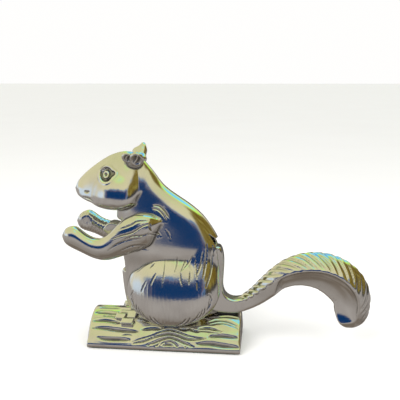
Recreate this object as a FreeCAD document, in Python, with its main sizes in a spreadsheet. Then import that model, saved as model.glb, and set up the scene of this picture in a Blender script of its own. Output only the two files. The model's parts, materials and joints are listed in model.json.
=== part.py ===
"""Squirrel nutcracker: a polished cast squirrel on a log base, with its tail as the cracking lever.

Millimetres. +Z is up, +X runs from the squirrel's nose to its tail, +Y is its left-to-right width.
The origin is the middle of the flat underside that stands on the table.

The lever is one casting: the tail outside, a flat plate in the squirrel's centre slot, and a tongue
that comes out between the arms. It turns on a cross pin. Lifting the tail drops the tongue, a nut goes
between tongue and chin, and pressing the tail down cracks it. The tail rests on the log.
"""
import FreeCAD
import Part
import Sketcher
import math
import os

from FreeCAD import Matrix, Placement, Rotation, Vector

DOC = FreeCAD.newDocument("nutcracker")

# ---------------------------------------------------------------------------------------------
# Driving dimensions, one sheet cell each
# ---------------------------------------------------------------------------------------------
DIMENSIONS = {
    "felt_thick": 1.0,
    "felt_inset": 2.0,
    "log_length": 125.0,
    "log_half_width": 28.0,
    "log_height": 24.6,        # above the felt
    "log_side_wall": 3.2,      # upright strip along the foot of the log
    "log_end_round": 1.6,
    "pad_length": 15.0,
    "pad_width": 9.0,
    "pad_thick": 1.8,
    "pad_seat": 0.6,           # how deep the pad sits in the log
    "pad_middle": 50.0,        # x of its middle
    "pivot_x": 10.0,
    "pivot_z": 60.0,
    "pin_radius": 4.0,
    "pin_blind_end": 17.0,     # the near end stops inside the casting
    "pin_far_end": 25.6,
    "pin_play": 0.05,          # radial, in the lever's bore
    "lever_half_thick": 6.8,
    "slot_half_width": 7.5,
    "washer_thick": 0.6,
    "washer_radius": 9.0,
    "screw_radius": 3.0,
    "screw_head_radius": 5.0,
    "screw_head_high": 4.0,
    "screw_socket": 2.5,       # half the socket's width across flats
    "screw_top": 38.0,
    "screw_recess": 6.8,       # depth of the counterbore in the log
    "screw_front_x": -14.0,
    "screw_rear_x": 16.0,
    "ring_thick": 1.3,         # spring washer under each screw head
    "ring_gap": 1.2,
    "torso_half_long": 40.0,
    "torso_half_wide": 26.0,
    "head_half_high": 25.0,
    "head_half_wide": 18.0,
    "arm_half_high": 8.6,
    "arm_half_wide": 6.4,
    "arm_y": 20.0,
    "tail_half_deep": 14.6,
    "tail_half_wide": 11.5,
}


def make_sheet():
    sheet = DOC.addObject("Spreadsheet::Sheet", "dims")
    for row, (name, value) in enumerate(DIMENSIONS.items(), start=1):
        sheet.set(f"A{row}", name)
        sheet.set(f"B{row}", str(value))
        sheet.setAlias(f"B{row}", name)
    DOC.recompute()
    return sheet


SHEET = make_sheet()


def dim(name):
    """A driving dimension as a plain number."""
    return float(SHEET.get(name))


def bind(thing, prop, expression):
    """Binds a property to sheet cells: every name of a dimension in the expression becomes its cell."""
    words = []
    for word in expression.split():
        words.append(f"dims.{word}" if word in DIMENSIONS else word)
    thing.setExpression(prop, " ".join(words))


# ---------------------------------------------------------------------------------------------
# Small helpers for bodies, sketches and sections
# ---------------------------------------------------------------------------------------------
def new_body(label):
    body = DOC.addObject("PartDesign::Body", label)
    body.Label = label
    return body


def origin_plane(body, role):
    return next(f for f in body.Origin.OriginFeatures if f.Role == role)


def new_sketch(body, role, name, offset="0"):
    """A sketch on one of the body's own origin planes, moved along its normal by a bound offset."""
    sketch = body.newObject("Sketcher::SketchObject", name)
    sketch.AttachmentSupport = [(origin_plane(body, role), "")]
    sketch.MapMode = "FlatFace"
    if offset != "0":
        bind(sketch, "AttachmentOffset.Base.z", offset)
    return sketch


def add_circle(sketch, expression, x="0", y="0"):
    """A circle with its radius and centre bound to the sheet."""
    at = sketch.addGeometry(Part.Circle(Vector(1, 1, 0), Vector(0, 0, 1), 2.0))
    radius = sketch.addConstraint(Sketcher.Constraint("Radius", at, 2.0))
    bind(sketch, f"Constraints[{radius}]", expression)
    for axis, value in (("DistanceX", x), ("DistanceY", y)):
        held = sketch.addConstraint(Sketcher.Constraint(axis, -1, 1, at, 3, 1.0))
        bind(sketch, f"Constraints[{held}]", value)
    return at


def add_outline(sketch, points):
    """A closed outline of straight lines."""
    count = len(points)
    for k in range(count):
        a = Vector(points[k][0], points[k][1], 0)
        b = Vector(points[(k + 1) % count][0], points[(k + 1) % count][1], 0)
        sketch.addGeometry(Part.LineSegment(a, b))


def add_smooth_outline(sketch, points):
    """One closed smooth curve through the points."""
    curve = Part.BSplineCurve()
    curve.interpolate(Points=[Vector(x, y, 0) for x, y in points], PeriodicFlag=True)
    sketch.addGeometry(curve)


def pad(body, sketch, length, both_ways=False):
    made = body.newObject("PartDesign::Pad", sketch.Name + "_pad")
    made.Profile = sketch
    bind(made, "Length", length)
    if both_ways:
        made.SideType = "Symmetric"
    return made


def pocket(body, sketch, length, reversed_way=False, both_ways=False):
    DOC.recompute()
    before = body.Shape.Volume
    made = body.newObject("PartDesign::Pocket", sketch.Name + "_pocket")
    made.Profile = sketch
    bind(made, "Length", length)
    if both_ways:
        made.SideType = "Symmetric"
    made.Reversed = reversed_way
    DOC.recompute()
    if body.Shape.Volume >= before - 1e-3:
        raise RuntimeError(f"{made.Name} cuts nothing")
    return made


def ellipse_section(name, centre, major, minor, major_way, minor_way):
    """An ellipse object: its half axes are bound expressions, laid along the two given directions."""
    section = DOC.addObject("Part::Ellipse", name)
    bind(section, "MajorRadius", major)
    bind(section, "MinorRadius", minor)
    u = Vector(*major_way).normalize()
    v = Vector(*minor_way).normalize()
    w = u.cross(v)
    turn = Matrix(u.x, v.x, w.x, 0, u.y, v.y, w.y, 0, u.z, v.z, w.z, 0, 0, 0, 0, 1)
    section.Placement = Placement(Vector(*centre), Rotation(turn))
    return section


def loft(name, sections):
    made = DOC.addObject("Part::Loft", name)
    made.Sections = sections
    made.Solid = True
    made.Ruled = False
    return made


def ellipsoid(name, centre, radii, tilt=None):
    """radii are expressions along local X, Y and Z."""
    made = DOC.addObject("Part::Ellipsoid", name)
    bind(made, "Radius2", radii[0])
    bind(made, "Radius3", radii[1])
    bind(made, "Radius1", radii[2])
    made.Placement = Placement(Vector(*centre), tilt or Rotation())
    return made


# ---------------------------------------------------------------------------------------------
# Log base, its felt and its rest pad
# ---------------------------------------------------------------------------------------------
def make_log_base():
    body = new_body("log_base")
    half = dim("log_half_width")
    wall = dim("log_side_wall")
    high = dim("log_height")
    low = dim("felt_thick")
    power = 2.2
    rise = high - wall
    # The end outline: an upright wall each side, then a bowed top as a smooth curve.
    section = new_sketch(body, "YZ_Plane", "log_section")
    arch = []
    steps = 14
    for k in range(steps + 1):
        angle = math.pi * k / steps
        across = math.copysign(abs(math.cos(angle)) ** (2 / power), math.cos(angle))
        arch.append(Vector(half * across, low + wall + rise * math.sin(angle) ** (2 / power), 0))
    curve = Part.BSplineCurve()
    curve.interpolate(Points=arch)
    section.addGeometry(curve)
    left, right = Vector(-half, low, 0), Vector(half, low, 0)
    section.addGeometry(Part.LineSegment(arch[-1], left))
    section.addGeometry(Part.LineSegment(left, right))
    section.addGeometry(Part.LineSegment(right, arch[0]))
    pad(body, section, "log_length", both_ways=True)
    DOC.recompute()
    seat = new_sketch(body, "XY_Plane", "pad_seat", "felt_thick + log_height - pad_seat")
    middle, long, wide = dim("pad_middle"), dim("pad_length") / 2, dim("pad_width") / 2
    add_outline(seat, [(middle - long, -wide), (middle + long, -wide), (middle + long, wide), (middle - long, wide)])
    pocket(body, seat, "10 * pad_seat", reversed_way=True)
    for name in ("front", "rear"):
        shank = new_sketch(body, "XY_Plane", f"shank_hole_{name}")
        add_circle(shank, "screw_radius + 0.3", x=f"screw_{name}_x")
        pocket(body, shank, "2 * log_height", reversed_way=True)
        head = new_sketch(body, "XY_Plane", f"head_recess_{name}", "felt_thick")
        add_circle(head, "screw_head_radius + 0.4", x=f"screw_{name}_x")
        pocket(body, head, "screw_recess", reversed_way=True)
    return body


def make_base_felt():
    body = new_body("base_felt")
    sheet = new_sketch(body, "XY_Plane", "felt_outline")
    long = dim("log_length") / 2 - dim("felt_inset")
    wide = dim("log_half_width") - dim("felt_inset")
    add_outline(sheet, [(-long, -wide), (long, -wide), (long, wide), (-long, wide)])
    slab = pad(body, sheet, "felt_thick")
    DOC.recompute()
    upright = [f"Edge{k + 1}" for k, e in enumerate(slab.Shape.Edges)
               if abs(e.tangentAt(e.FirstParameter).z) > 0.9]
    corners = body.newObject("PartDesign::Fillet", "felt_corners")
    corners.Base = (slab, upright)
    bind(corners, "Radius", "felt_inset + 1")
    return body


def make_rest_pad():
    body = new_body("lever_rest_pad")
    sketch = new_sketch(body, "XY_Plane", "pad_outline", "felt_thick + log_height - pad_seat")
    middle = dim("pad_middle")
    long, wide = dim("pad_length") / 2 - 0.05, dim("pad_width") / 2 - 0.05
    add_outline(sketch, [(middle - long, -wide), (middle + long, -wide), (middle + long, wide), (middle - long, wide)])
    pad(body, sketch, "pad_thick")
    return body


# ---------------------------------------------------------------------------------------------
# Pivot pin, its washers, and the base screws
# ---------------------------------------------------------------------------------------------
def make_pivot_pin():
    """A straight pin along Y with a low domed end that shows on the far flank."""
    body = new_body("pivot_pin")
    sketch = new_sketch(body, "XY_Plane", "pin_half")
    r, near, far = dim("pin_radius"), -dim("pin_blind_end"), dim("pin_far_end")
    dome = 1.0
    lead = 0.6
    outline = [Vector(0, near, 0), Vector(r - lead, near, 0), Vector(r, near + lead, 0), Vector(r, far, 0)]
    for a, b in zip(outline, outline[1:]):
        sketch.addGeometry(Part.LineSegment(a, b))
    crown = Vector(0.3 * r, far + dome, 0)
    middle = Vector(0.72 * r, far + 0.66 * dome, 0)
    sketch.addGeometry(Part.Arc(outline[-1], middle, crown))
    centre = Vector(0, far + dome, 0)
    sketch.addGeometry(Part.LineSegment(crown, centre))
    sketch.addGeometry(Part.LineSegment(centre, outline[0]))
    turned = body.newObject("PartDesign::Revolution", "pin_turned")
    turned.Profile = sketch
    turned.ReferenceAxis = (sketch, ["V_Axis"])
    turned.Angle = 360
    bind(body, "Placement.Base.x", "pivot_x")
    bind(body, "Placement.Base.z", "pivot_z")
    return body


def make_washer(label, side):
    """A thin washer on the pin, between the lever and a slot wall. side is -1 near, +1 far."""
    body = new_body(label)
    sketch = new_sketch(body, "XZ_Plane", f"{label}_ring")
    add_circle(sketch, "washer_radius")
    add_circle(sketch, "pin_radius + 0.1")
    ring = pad(body, sketch, "washer_thick")
    ring.SideType = "Symmetric"
    bind(body, "Placement.Base.x", "pivot_x")
    bind(body, "Placement.Base.z", "pivot_z")
    bind(body, "Placement.Base.y", f"{side} * ( slot_half_width - washer_thick / 2 - 0.03 )")
    return body


def make_base_screw(name):
    """A socket-head screw, head down in the log's counterbore."""
    body = new_body(f"base_screw_{name}")
    sketch = new_sketch(body, "XZ_Plane", f"screw_half_{name}")
    head_low = dim("felt_thick") + dim("screw_recess") - dim("ring_thick") - dim("screw_head_high")
    head_top = head_low + dim("screw_head_high")
    r, big, top = dim("screw_radius"), dim("screw_head_radius"), dim("screw_top")
    edge = 0.5
    add_outline(sketch, [(0, head_low), (big - edge, head_low), (big, head_low + edge), (big, head_top),
                         (r, head_top), (r, top - edge), (r - edge, top), (0, top)])
    turned = body.newObject("PartDesign::Revolution", f"screw_turned_{name}")
    turned.Profile = sketch
    turned.ReferenceAxis = (sketch, ["V_Axis"])
    turned.Angle = 360
    DOC.recompute()
    socket = new_sketch(body, "XY_Plane", f"socket_{name}", "felt_thick + screw_recess - ring_thick - screw_head_high")
    corner = dim("screw_socket") / math.cos(math.pi / 6)
    add_outline(socket, [(corner * math.cos(math.pi * k / 3), corner * math.sin(math.pi * k / 3)) for k in range(6)])
    pocket(body, socket, "0.6 * screw_head_high", reversed_way=True)
    bind(body, "Placement.Base.x", f"screw_{name}_x")
    return body


def make_spring_washer(name):
    """A split ring between the screw head and the log."""
    body = new_body(f"spring_washer_{name}")
    sketch = new_sketch(body, "XY_Plane", f"split_ring_{name}", "felt_thick + screw_recess - ring_thick")
    inner, outer, half_gap = dim("screw_radius") + 0.15, dim("screw_head_radius") - 0.2, dim("ring_gap") / 2
    start_in, start_out = math.asin(half_gap / inner), math.asin(half_gap / outer)
    full = 2 * math.pi

    def at(radius, angle):
        return Vector(radius * math.cos(angle), radius * math.sin(angle), 0)

    sketch.addGeometry(Part.Arc(at(inner, start_in), at(inner, math.pi), at(inner, full - start_in)))
    sketch.addGeometry(Part.Arc(at(outer, start_out), at(outer, math.pi), at(outer, full - start_out)))
    sketch.addGeometry(Part.LineSegment(at(inner, start_in), at(outer, start_out)))
    sketch.addGeometry(Part.LineSegment(at(inner, full - start_in), at(outer, full - start_out)))
    pad(body, sketch, "ring_thick")
    bind(body, "Placement.Base.x", f"screw_{name}_x")
    return body


# ---------------------------------------------------------------------------------------------
# Squirrel body
# ---------------------------------------------------------------------------------------------
# Torso sections: height, middle x, half length and half width as shares of the full ones.
TORSO = [
    (14.0, 0.0, 0.60, 0.62),
    (22.0, 0.0, 0.82, 0.84),
    (32.0, -0.5, 0.925, 0.93),
    (46.0, 1.5, 0.97, 1.0),
    (62.0, 3.0, 1.0, 1.0),
    (77.0, 3.0, 1.0, 0.95),
    (91.0, 0.5, 0.98, 0.88),
    (101.0, -3.0, 0.95, 0.80),
    (109.0, -7.0, 0.86, 0.72),
    (118.0, -13.0, 0.72, 0.63),
    (127.0, -18.0, 0.50, 0.50),
]

# Head sections across X: x, middle height, half height and half width as shares of the full ones.
HEAD = [
    (-75.4, 127.6, 0.10, 0.10),
    (-74.0, 127.7, 0.19, 0.22),
    (-71.0, 128.0, 0.31, 0.34),
    (-65.0, 129.3, 0.49, 0.50),
    (-58.0, 130.2, 0.66, 0.68),
    (-50.0, 131.5, 0.82, 0.87),
    (-42.0, 132.8, 0.94, 0.99),
    (-32.0, 133.3, 1.0, 1.0),
    (-22.0, 131.8, 0.99, 0.94),
    (-12.0, 128.5, 0.84, 0.82),
    (-4.0, 122.0, 0.60, 0.66),
    (5.0, 114.0, 0.30, 0.36),
]

# Arm centre line from the paw back into the shoulder: x, z, half height share, half width share.
ARM = [
    (-79.2, 93.5, 0.50, 0.52),
    (-77.0, 92.8, 0.80, 0.84),
    (-72.5, 91.5, 0.98, 1.0),
    (-66.0, 87.0, 0.90, 0.95),
    (-57.0, 83.0, 0.92, 0.95),
    (-47.0, 82.2, 1.0, 1.0),
    (-38.0, 85.5, 1.12, 1.05),
    (-28.0, 91.0, 1.32, 1.12),
    (-14.0, 95.0, 1.60, 1.05),
]


def make_arm(name, side):
    """side is -1 for the near arm and +1 for the far one."""
    sections = []
    count = len(ARM)
    for k, (x, z, high, wide) in enumerate(ARM):
        before, after = ARM[max(0, k - 1)], ARM[min(count - 1, k + 1)]
        along = Vector(after[0] - before[0], 0, after[1] - before[1]).normalize()
        inward = 0.0 if x < -40 else (x + 40) * 0.16
        sections.append(ellipse_section(
            f"{name}_{k}", (x, side * (dim("arm_y") - inward), z),
            f"arm_half_high * {high}", f"arm_half_wide * {wide}",
            (-along.z, 0, along.x), (0, 1, 0)))
    return loft(name, sections)


def make_ear(name, side):
    """A cupped ear that leans outward: an upright flattened egg with a hollow in its front."""
    lean = Rotation(Vector(1, 0, 0), -side * 38)
    turn = Rotation(Vector(0, 0, 1), side * 25)
    shell = ellipsoid(f"{name}_shell", (-23.5, side * 15.5, 153.5), ("8.0", "3.6", "9.5"), lean.multiply(turn))
    cup = ellipsoid(f"{name}_cup", (-26.5, side * 20.0, 155.5), ("5.2", "2.8", "6.6"), lean.multiply(turn))
    ear = DOC.addObject("Part::Cut", name)
    ear.Base, ear.Tool = shell, cup
    return ear


def slot_cutter():
    """The centre slot that the lever's plate swings in, from the chest to the back."""
    x, z = dim("pivot_x"), dim("pivot_z")
    swing = 42.0
    edge = [
        (70.0, 20.0), (29.5, 20.0), (29.5, 30.5), (22.5, 36.5), (14.0, 43.0), (2.0, 44.3),
        (-8.0, 48.5), (-20.0, 54.0), (-34.0, 60.5), (-60.0, 66.0), (-60.0, 102.6), (-37.0, 102.6),
        (-23.0, 95.5), (-7.0, 84.0), (4.0, 78.5), (13.0, 81.0), (22.0, 89.5),
    ]
    start, end = math.radians(63), math.radians(44)
    arc = [(x + swing * math.cos(start + (end - start) * k / 6), z + swing * math.sin(start + (end - start) * k / 6))
           for k in range(7)]
    outline = edge + arc + [(70.0, z + swing * math.sin(end))]
    sketch = DOC.addObject("Sketcher::SketchObject", "slot_outline")
    sketch.Placement = Placement(Vector(0, 0, 0), Rotation(Vector(1, 0, 0), 90))
    add_outline(sketch, outline)
    cutter = DOC.addObject("Part::Extrusion", "slot_cutter")
    cutter.Base = sketch
    cutter.DirMode = "Normal"
    bind(cutter, "LengthFwd", "slot_half_width")
    bind(cutter, "LengthRev", "slot_half_width")
    cutter.Solid = True
    return cutter


def make_squirrel_body(log_base):
    torso = loft("torso", [
        ellipse_section(f"torso_{k}", (x, 0, z), f"torso_half_long * {a}", f"torso_half_wide * {b}",
                        (1, 0, 0), (0, 1, 0))
        for k, (z, x, a, b) in enumerate(TORSO)])
    head = loft("head", [
        ellipse_section(f"head_{k}", (x, 0, z), f"head_half_high * {a}", f"head_half_wide * {b}",
                        (0, 0, 1), (0, 1, 0))
        for k, (x, z, a, b) in enumerate(HEAD)])
    pieces = [torso, head]
    for name, side in (("near", -1), ("far", 1)):
        pieces.append(make_arm(f"arm_{name}", side))
        pieces.append(make_ear(f"ear_{name}", side))
        pieces.append(ellipsoid(f"haunch_{name}", (5.0, side * 13.0, 47.0), ("37.5", "14.6", "30.5")))
        pieces.append(ellipsoid(f"foot_{name}", (-27.0, side * 15.5, 25.0), ("13.5", "6.5", "4.6")))
    whole = DOC.addObject("Part::MultiFuse", "squirrel_solid")
    whole.Shapes = pieces

    bore = DOC.addObject("Part::Cylinder", "pin_bore")
    bind(bore, "Radius", "pin_radius")
    bind(bore, "Height", "pin_blind_end + 60")
    bore.Placement = Placement(Vector(dim("pivot_x"), -dim("pin_blind_end"), dim("pivot_z")),
                               Rotation(Vector(1, 0, 0), -90))
    tools = [slot_cutter(), bore]
    for name in ("front", "rear"):
        hole = DOC.addObject("Part::Cylinder", f"thread_{name}")
        bind(hole, "Radius", "screw_radius")
        bind(hole, "Height", "screw_top + 1")
        bind(hole, "Placement.Base.x", f"screw_{name}_x")
        tools.append(hole)
    # Nothing of the casting reaches down into the log, where the screw heads sit.
    under = DOC.addObject("Part::Box", "below_log")
    bind(under, "Length", "log_length")
    bind(under, "Width", "2 * log_half_width")
    under.Height = 16
    bind(under, "Placement.Base.x", "0 - log_length / 2")
    bind(under, "Placement.Base.y", "0 - log_half_width")
    tools.append(under)
    log_copy = DOC.addObject("Part::Feature", "log_top")
    DOC.recompute()
    log_copy.Shape = log_base.Shape.copy()
    tools.append(log_copy)
    cutters = DOC.addObject("Part::MultiFuse", "squirrel_cutters")
    cutters.Shapes = tools
    body = DOC.addObject("Part::Cut", "squirrel_body")
    body.Base, body.Tool = whole, cutters
    body.Label = "squirrel_body"
    return body


# ---------------------------------------------------------------------------------------------
# Tail lever
# ---------------------------------------------------------------------------------------------
# The plate's outline, from the tongue's tip along the top, down the back and along the bottom.
PLATE = [
    (-52.0, 94.0), (-47.0, 100.2), (-38.0, 99.2), (-24.0, 92.0), (-8.0, 80.2), (7.0, 74.6),
    (22.0, 77.4), (35.0, 81.6), (42.5, 82.0), (46.2, 77.5), (47.2, 68.0), (46.8, 56.0), (47.4, 47.0),
    (50.5, 42.0), (56.0, 40.2), (62.0, 40.8), (68.0, 44.0), (74.0, 50.0), (80.0, 50.0), (81.0, 42.0),
    (74.0, 34.6), (66.0, 30.2), (57.0, 27.4), (48.0, 26.95), (39.5, 28.0), (32.0, 32.0), (24.5, 38.5),
    (15.0, 45.4), (3.0, 47.6), (-8.0, 55.8), (-18.0, 66.6), (-30.0, 78.5), (-40.0, 86.6), (-47.5, 88.6),
]

# Tail sections: middle x and z, the way from the under side to the outer side in degrees, half depth
# and half width as shares of the full ones.
TAIL = [
    (62.0, 35.4, 112, 0.38, 0.46),
    (70.0, 38.6, 121, 0.40, 0.50),
    (78.0, 44.6, 124, 0.54, 0.68),
    (86.0, 52.0, 122, 0.72, 0.84),
    (95.5, 59.0, 112, 0.86, 0.94),
    (106.0, 63.2, 98, 0.93, 0.99),
    (118.0, 64.3, 84, 0.98, 1.0),
    (129.5, 62.2, 69, 1.0, 1.0),
    (139.5, 57.0, 54, 1.0, 1.0),
    (147.0, 49.4, 38, 1.0, 0.99),
    (151.6, 40.0, 22, 0.98, 0.95),
    (153.0, 30.6, 8, 0.87, 0.86),
    (152.6, 22.4, -6, 0.66, 0.66),
    (151.8, 17.2, -12, 0.34, 0.34),
]


def make_tail_lever():
    plate = new_body("lever_plate")
    outline = new_sketch(plate, "XZ_Plane", "plate_outline")
    add_smooth_outline(outline, PLATE)
    pad(plate, outline, "2 * lever_half_thick", both_ways=True)
    tail = loft("tail", [
        ellipse_section(f"tail_{k}", (x, 0, z), f"tail_half_deep * {deep}", f"tail_half_wide * {wide}",
                        (math.cos(math.radians(out)), 0, math.sin(math.radians(out))), (0, 1, 0))
        for k, (x, z, out, deep, wide) in enumerate(TAIL)])
    joined = DOC.addObject("Part::MultiFuse", "lever_solid")
    joined.Shapes = [plate, tail]
    bore = DOC.addObject("Part::Cylinder", "lever_bore")
    bind(bore, "Radius", "pin_radius + pin_play")
    bore.Height = 60
    bore.Placement = Placement(Vector(dim("pivot_x"), -30, dim("pivot_z")), Rotation(Vector(1, 0, 0), -90))
    lever = DOC.addObject("Part::Cut", "tail_lever")
    lever.Base, lever.Tool = joined, bore
    lever.Label = "tail_lever"
    return lever


# ---------------------------------------------------------------------------------------------
# The whole object
# ---------------------------------------------------------------------------------------------
def build():
    log_base = make_log_base()
    parts = [log_base, make_base_felt(), make_rest_pad(), make_pivot_pin()]
    parts += [make_washer("pivot_washer_near", -1), make_washer("pivot_washer_far", 1)]
    for name in ("front", "rear"):
        parts += [make_base_screw(name), make_spring_washer(name)]
    parts += [make_squirrel_body(log_base), make_tail_lever()]
    DOC.recompute()
    return parts


def check(parts):
    for thing in DOC.Objects:
        if {"Invalid", "Error"} & set(thing.State):
            raise RuntimeError(f"{thing.Name} failed: {thing.State}")
    for part in parts:
        shape = part.Shape
        if shape.isNull() or not shape.isValid() or not shape.Solids:
            raise RuntimeError(f"{part.Label} has no valid solid")


def write(parts):
    os.makedirs("parts", exist_ok=True)
    for part in parts:
        part.Shape.exportStep(os.path.join("parts", part.Label + ".step"))
        box = part.Shape.BoundBox
        print(f"{part.Label:22s} solids {len(part.Shape.Solids)}  volume {part.Shape.Volume / 1000:8.2f} cm3  "
              f"x {box.XMin:.1f}..{box.XMax:.1f}  y {box.YMin:.1f}..{box.YMax:.1f}  z {box.ZMin:.1f}..{box.ZMax:.1f}")


PARTS = build()
check(PARTS)
write(PARTS)
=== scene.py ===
"""Looks of the squirrel nutcracker: three polished castings sculpted as distance fields, and its hardware.

Lengths inside the sculpts are millimetres in the CAD frame: +X runs from nose to tail, +Z is up.
Each casting is a field that is negative inside the metal. It is meshed on a voxel grid and its points are
then slid onto the exact zero surface, so that the polish has no steps in it.
"""
import json
import math

import bmesh
import bpy
import numpy as np
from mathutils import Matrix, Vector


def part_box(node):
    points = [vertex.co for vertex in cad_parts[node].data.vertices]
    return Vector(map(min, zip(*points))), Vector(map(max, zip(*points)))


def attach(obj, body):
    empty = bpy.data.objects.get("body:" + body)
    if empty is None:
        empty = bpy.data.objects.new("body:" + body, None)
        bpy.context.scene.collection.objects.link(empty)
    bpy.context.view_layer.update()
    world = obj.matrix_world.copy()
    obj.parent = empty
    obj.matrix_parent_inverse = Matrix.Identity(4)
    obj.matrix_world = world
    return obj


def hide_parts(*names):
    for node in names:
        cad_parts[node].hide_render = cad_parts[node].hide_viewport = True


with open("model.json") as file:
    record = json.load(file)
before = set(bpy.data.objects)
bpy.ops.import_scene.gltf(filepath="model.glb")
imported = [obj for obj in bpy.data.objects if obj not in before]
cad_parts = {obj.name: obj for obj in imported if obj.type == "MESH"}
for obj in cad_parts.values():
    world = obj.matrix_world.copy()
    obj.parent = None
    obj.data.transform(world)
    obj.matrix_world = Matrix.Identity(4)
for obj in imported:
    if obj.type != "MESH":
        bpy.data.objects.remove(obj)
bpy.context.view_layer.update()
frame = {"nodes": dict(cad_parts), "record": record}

import openvdb
from mathutils import Matrix, Vector

MM = 0.001


def node_box(node):
    """Lowest and highest corner of a CAD node in millimetres."""
    low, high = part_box(node)
    return np.array(low) / MM, np.array(high) / MM


LOG_LOW, LOG_HIGH = node_box("log_base")
PIVOT = np.array(frame["record"]["behaviour"]["joints"][0]["pos_m"]) / MM


# ---------------------------------------------------------------------------------------------
# Field tools
# ---------------------------------------------------------------------------------------------
def ease(t):
    """0 to 1 with level ends."""
    t = np.clip(t, 0.0, 1.0)
    return t * t * (3.0 - 2.0 * t)


def ramp(value, start, end):
    return ease((value - start) / (end - start))


def join(a, b, k):
    """Union of two fields with a fillet of about k."""
    k = np.maximum(k, 1e-3)
    lean = np.clip(0.5 + 0.5 * (b - a) / k, 0.0, 1.0)
    return b + (a - b) * lean - k * lean * (1.0 - lean)


def cut(a, b, k):
    """Takes b out of a, with an edge rounded by about k."""
    return -join(-a, b, k)


def smooth_table(rows, sigma):
    """Rows (t, value, value, ...) as smooth functions of t: a fine table, evened out over sigma."""
    rows = np.array(rows, dtype=float)
    pitch = 0.5
    reach = int(4 * sigma / pitch)
    t = np.arange(rows[0, 0] - reach * pitch, rows[-1, 0] + (reach + 0.5) * pitch, pitch)
    kernel = np.exp(-0.5 * (np.arange(-reach, reach + 1) * pitch / sigma) ** 2)
    kernel /= kernel.sum()
    columns = []
    for column in rows.T[1:]:
        first = (column[1] - column[0]) / (rows[1, 0] - rows[0, 0])
        last = (column[-1] - column[-2]) / (rows[-1, 0] - rows[-2, 0])
        value = np.interp(t, rows[:, 0], column)
        value = np.where(t < rows[0, 0], column[0] + first * (t - rows[0, 0]), value)
        value = np.where(t > rows[-1, 0], column[-1] + last * (t - rows[-1, 0]), value)
        columns.append(np.convolve(value, kernel, mode="same"))
    return t[reach:-reach], [column[reach:-reach] for column in columns]


def tower(t, along, across, rows, sigma, power=2.0, level=0.5):
    """A rounded form stacked along t. Rows are (t, low, high, middle across, half width across).

    level says how far up each section is widest, from 0 to 1, and power how full it is above that.
    """
    table, (low, high, middle, half) = smooth_table(rows, sigma)
    inside = np.clip(t, table[0], table[-1])
    low, high = np.interp(inside, table, low), np.interp(inside, table, high)
    middle, half = np.interp(inside, table, middle), np.interp(inside, table, half)
    widest = low + level * (high - low)
    long = np.maximum(np.where(along > widest, high - widest, widest - low), 0.3)
    half = np.maximum(half, 0.3)
    u = np.abs(along - widest) / long
    v = np.abs(across - middle) / half
    power = np.where(along > widest, power, max(power, 2.2))
    size = (u ** power + v ** power) ** (1.0 / power) + 1e-9
    slope_u = (u / size) ** (power - 1) / long
    slope_v = (v / size) ** (power - 1) / half
    flat = (size - 1.0) / np.sqrt(slope_u ** 2 + slope_v ** 2 + 1e-12)
    beyond = np.abs(t - inside)
    return np.where(beyond > 0, np.hypot(np.maximum(flat, 0.0), beyond) + np.minimum(flat, 0.0), flat)


def ellipsoid(p, centre, radii, turn=None):
    q = p - np.array(centre)
    if turn is not None:
        q = q @ np.array(turn)
    r = np.array(radii)
    near = np.linalg.norm(q / r, axis=1)
    far = np.linalg.norm(q / r ** 2, axis=1) + 1e-9
    return near * (near - 1.0) / far


def egg(x, side, z, centre, radii, drop):
    """An ellipsoid whose lower half is only drop high."""
    reach = np.empty((len(x), 3))
    reach[:] = radii
    reach[z < centre[2], 2] = drop
    q = (np.stack([x, side, z], axis=1) - np.array(centre)) / reach
    size = np.linalg.norm(q, axis=1) + 1e-9
    return size * (size - 1.0) / (np.linalg.norm(q / reach, axis=1) + 1e-9)


def line_distance(x, z, points):
    """Distance in the x, z plane to a chain of points, and how far along it the nearest is, 0 to 1."""
    points = np.array(points, dtype=float)
    steps = np.diff(points, axis=0)
    lengths = np.linalg.norm(steps, axis=1)
    total = lengths.sum()
    best = np.full(x.shape, 1e9)
    along = np.zeros(x.shape)
    start = 0.0
    for (px, pz), (dx, dz), length in zip(points[:-1], steps, lengths):
        t = np.clip(((x - px) * dx + (z - pz) * dz) / length ** 2, 0.0, 1.0)
        d = np.hypot(x - px - t * dx, z - pz - t * dz)
        nearer = d < best
        best = np.where(nearer, d, best)
        along = np.where(nearer, (start + t * length) / total, along)
        start += length
    return best, along


def bend(points, count=14):
    """A smooth curve through a few points, as a chain (Catmull-Rom)."""
    p = np.array(points, dtype=float)
    if len(p) == 2:
        return p
    p = np.vstack([2 * p[0] - p[1], p, 2 * p[-1] - p[-2]])
    chain = []
    for a, b, c, d in zip(p[:-3], p[1:-2], p[2:-1], p[3:]):
        for t in np.arange(count) / count:
            chain.append(0.5 * (2 * b + (c - a) * t + (2 * a - 5 * b + 4 * c - d) * t ** 2
                                + (3 * b - a - 3 * c + d) * t ** 3))
    chain.append(p[-2])
    return np.array(chain)


def engrave(field, x, z, points, depth, width, where=None, lip=0.0):
    """Sinks a tapered line into the field, drawn in the x, z plane. lip raises its edges a little."""
    chain = bend(points, 6)
    reach = 3.0 * width
    low, high = chain.min(axis=0) - reach, chain.max(axis=0) + reach
    near = (x > low[0]) & (x < high[0]) & (z > low[1]) & (z < high[1])
    if where is not None:
        near &= where
    if not near.any():
        return field
    d, along = line_distance(x[near], z[near], chain)
    taper = np.sqrt(np.clip(np.sin(math.pi * np.clip(along, 0.02, 0.98)), 0.0, 1.0))
    valley = np.exp(-(d / (width * (0.3 + 0.7 * taper))) ** 2) * depth * taper
    shoulder = np.exp(-((d - 1.9 * width) / (0.8 * width)) ** 2) * lip * taper
    field[near] += valley - shoulder
    return field


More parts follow.
